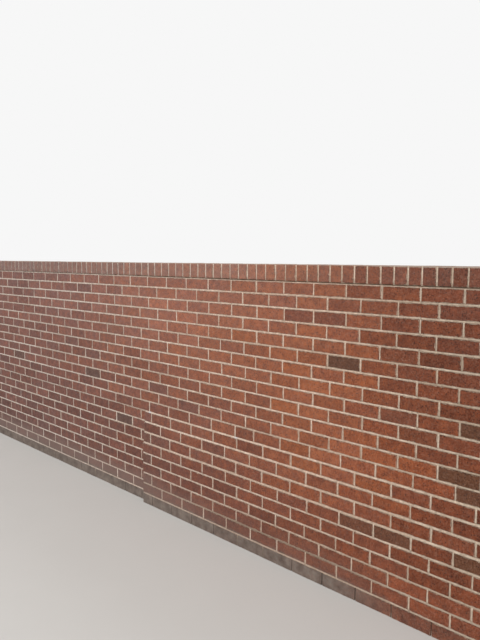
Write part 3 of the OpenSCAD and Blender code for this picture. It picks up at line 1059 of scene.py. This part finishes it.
def layHeads(pile, bay, side, number):
    left, right = bayLines[bay - 1] - mortarBar["toothing"], bayLines[bay] - mortarBar["toothing"]
    more, seeds, quoin = mortarBar["headMore"], mortarBar["seeds"], mortarBar["quoinJoint"]
    base = ("base_left", "base_right")
    for course in range(bond["courses"]):
        part = 0
        for region in ("back",) if side > 0 else ("upper",) if course >= bond["baseCourses"] else base:
            _, _, heads, (low, high) = courses[region, course]
            if region == "base_left":  # and a joint against the quoin
                heads = np.append(heads, [[stepX + quoin[0], stepX + quoin[1]]], 0)
            middles = heads.mean(1)
            own = heads[(middles >= left) & (middles < right)]
            count = len(own)
            if not count:
                continue
            faceY = back = np.full(count, faceOf(region, course))
            if side < 0 and course == 0:
                shut = np.random.default_rng(seeds["footShut"] + bay).random(count) < footJoints["shut"]
                faceY = np.where(shut, faceY, faceY + footJoints["depth"])
            smears = [((low + high) / 2, amount * (np.abs(own.mean(1) - place) < 0.03)[:, None])
                      for (row, place), amount in headSmears.items() if row == course and side < 0]
            tone = np.random.default_rng(seeds["headTone"] + bay + course * 9).random(count)
            back = back - side * bond["brickDepth"]
            layBars(pile, columns(low - more, high + more, *own.T, faceY, faceY, back),
                    side, seeds["head"] + course * 13 + side,
                    np.array([rowOf(number, mapRows["heads"], part + k) for k in range(count)]),
                    columns(0.0, footJoints["dirtAndShade"] * (course == 0), tone, 1.0),
                    mortarBar["paintedShade"]["head"], True, smears)
            settle(pile.points[-1], course, side, low, high)
            part += count
        number += 1
    return number


capJoint = {
    "grid": (4, 8, 4),  # steps across, from front to back, and up
    "across": ((0, -0.0035), (0, 0), (0.5, 0), (1, 0), (1, 0.0035)),  # the outer two are inside the bricks
    "frontRecess": 0.0032, "topRecess": 0.0012, "hiddenRecess": 0.007, "rough": 0.0010, "ragged": 0.0010,
    "lime": ((0.0, 0.25), (1.8, 0.0)), "paintedShade": 0.5, "seed": 971, "toneSeed": 60,
    "bands": {2: (0.804, 0.842), 5: (0.848, 0.930), 3: (0.936, 0.974), 0: (0.977, 0.981), 1: (0.984, 0.988),
              4: (0.991, 0.995)},
    "mapWide": 0.93,
}
capJointForm = boxShape(*capJoint["grid"])


def layCapJoints(pile, bay):
    first = (bay - 1) * bond["capBricks"]
    after = np.arange(max(first, 1), first + bond["capBricks"])
    (_, low, pushLeft, topLeft), (high, _, pushRight, topRight) = capBricks[after - 1].T, capBricks[after].T
    recess = capBrick["inset"] + capJoint["frontRecess"]
    wide, long, tall = capJoint["grid"]
    lines = [gridLines(low, high, capJoint["across"]),
             gridLines(capLow.y + recess + np.maximum(pushLeft, pushRight),
                       capHigh.y - recess + np.minimum(pushLeft, pushRight), evenly(long)),
             gridLines(capLow.z - 0.001, np.minimum(topLeft, topRight) - capJoint["topRecess"], evenly(tall))]
    points, _ = boxPoints(capJointForm, lines, 0.0)
    column, row, level = capJointForm["steps"].T
    hidden, onTop = (column == 0) | (column == wide), level == tall
    rough = rubble(points, capJoint["seed"])
    back = hidden * capJoint["hiddenRecess"]
    points[..., 1] += ((row == 0) * 1 - (row == long)) * (back + rough * capJoint["rough"])
    points[..., 2] -= onTop * (back + (rough + 0.3) * capJoint["rough"] * 0.6)
    points[..., 0] += ((column == wide - 1) * 1 - (column == 1)) * (rough * capJoint["ragged"])
    count, pitch = len(after), capJoint["mapWide"] / (bond["capBricks"] + 1)
    u0 = np.arange(count) * pitch + 0.002
    marks = np.tile([0.0, 0.0, 0.5, 1.0], (count, len(column), 1))
    marks[..., 0] = graded(low, capJoint["lime"])[:, None]
    # Painted shade along one edge of each cap joint
    marks[..., 1] = ((column == 1) & ~onTop) * capJoint["paintedShade"]
    marks[..., 2] = np.random.default_rng(capJoint["toneSeed"] + bay).random(count)[:, None]
    pile.add(points, capJointForm, boxMaps(capJointForm, boxSheet(u0, u0 + pitch - 0.004, capJoint["bands"])),
             {"laid": marks})


collar = {
    "grid": (1, 2, 12), "rough": 0.0015, "seed": 981, "laid": (0.0, 0.1, 0.5, 1.0),
    "bands": {0: (0.804, 0.88), 1: (0.884, 0.96), 2: (0.964, 0.970), 3: (0.973, 0.979), 4: (0.982, 0.986),
              5: (0.989, 0.993)},
    "mapStart": 0.935, "mapPitch": 0.011, "mapWide": 0.009,
    # Nodes, and the bay whose mortar stands for each
    "nodes": {"collar_joint_upper": 3, "collar_joint_base_left": 1, "collar_joint_base_right": 5},
}
collarForm = boxShape(*collar["grid"])


def layCollar(pile, bay):
    # Mortar between the leaves, which shows only at the ends of the wall
    start, end = mortarSpan(bay)
    base, depth = bond["baseCourses"], bond["brickDepth"]
    slabs = [(start, end, upperFace, brickTop(base - 1), leafTop)]
    if bay <= bond["stepBay"]:
        slabs.append((start, min(end, stepX), leftFace, 0.0, brickTop(base - 1)))
    if bay >= bond["stepBay"]:  # the plumb courses in one, then each of the courses above
        solid = base - bond["flareCourses"] + 1
        for low, high in ((0, solid), *((k, k + 1) for k in range(solid, base))):
            slabs.append((max(start, stepX), end, faceOf("base_right", low),
                          brickTop(low - 1) if low else 0.0, brickTop(high - 1)))
    left, right, front, low, high = np.array(slabs).T
    lines = [gridLines(*span, evenly(count)) for span, count in zip(
        ((left, right), (front + depth, backFace - depth), (low, high)), collar["grid"])]
    points, _ = boxPoints(collarForm, lines, 0.0)
    way = 1 - 2 * collarForm["steps"][:, 0]
    points[..., 0] += way * grain(points, 0.02, collar["seed"]) * collar["rough"]
    at = collar["mapStart"] + collar["mapPitch"] * np.arange(len(slabs))
    sheet = boxSheet(at, at + collar["mapWide"], collar["bands"])
    pile.add(points, collarForm, boxMaps(collarForm, sheet), {"laid": np.array(collar["laid"])})


for bay in bays:
    pile, number = Pile(), 0
    for side in (-1, 1):
        number = layBeds(pile, bay, side, number)
        number = layHeads(pile, bay, side, number)
    layCapJoints(pile, bay)
    layCollar(pile, bay)
    piece = pile.build(f"mortar_bay_{bay}", sand)
    others = [node for node, its in collar["nodes"].items() if its == bay]
    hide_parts(f"cap_bed_joint_bay_{bay}", *others)
print("mortar laid")


studio = {
    "floor": (0.62, 0.61, 0.59), "speckle": 1.04, "floorReach": 160,
    "sky": 0.62, "backdrop": 0.93, "daylight": (1.0, 0.985, 0.965),
    "suns": {"softKey": (1.75, (-0.45, 1.0, -0.95)), "softFill": (1.15, (0.35, -1.0, -0.8))},
    "sunSize": 55,  # in degrees
}


def makeStudio():
    mesh, far = bpy.data.meshes.new("floor"), studio["floorReach"]
    mesh.from_pydata([(-far, -far, 0), (far, -far, 0), (far, far, 0), (-far, far, 0)], [], [(0, 1, 2, 3)])
    placed("floor", mesh)
    bench = newMaterial("paleFloor", {"Roughness": 0.9, "Specular IOR Level": 0.1})
    pale = tuple(v * studio["speckle"] for v in studio["floor"])
    bench.give("Base Color", bench.blend(bench.noise(3, 3), studio["floor"], pale))
    mesh.materials.append(bench.owner)

    for name, (energy, aim) in studio["suns"].items():
        lamp = bpy.data.lights.new(name, "SUN")
        lamp.energy = energy
        lamp.angle = math.radians(studio["sunSize"])
        placed(name, lamp).rotation_euler = Vector(aim).to_track_quat("-Z", "Y").to_euler()

    bpy.context.scene.world = world = bpy.data.worlds.new("studio")
    bench = Bench(world, "Background", {"Color": (*studio["daylight"], 1), "Strength": studio["sky"]})
    backdrop = bench.add("ShaderNodeBackground", {}, {"Color": (studio["backdrop"],) * 3})
    seen = bench.add("ShaderNodeLightPath", output="Is Camera Ray")
    seen = seen + seen.beside("Is Glossy Ray") + seen.beside("Is Transmission Ray")
    light = Wire(bench, bench.shader.outputs[0])
    mixed = bench.add("ShaderNodeMixShader", {}, {0: seen, 1: light, 2: backdrop})
    bench.feed(bench.tree.nodes["World Output"].inputs["Surface"], mixed)


makeStudio()
bpy.context.scene.view_settings.view_transform = "Standard"
print("studio made")
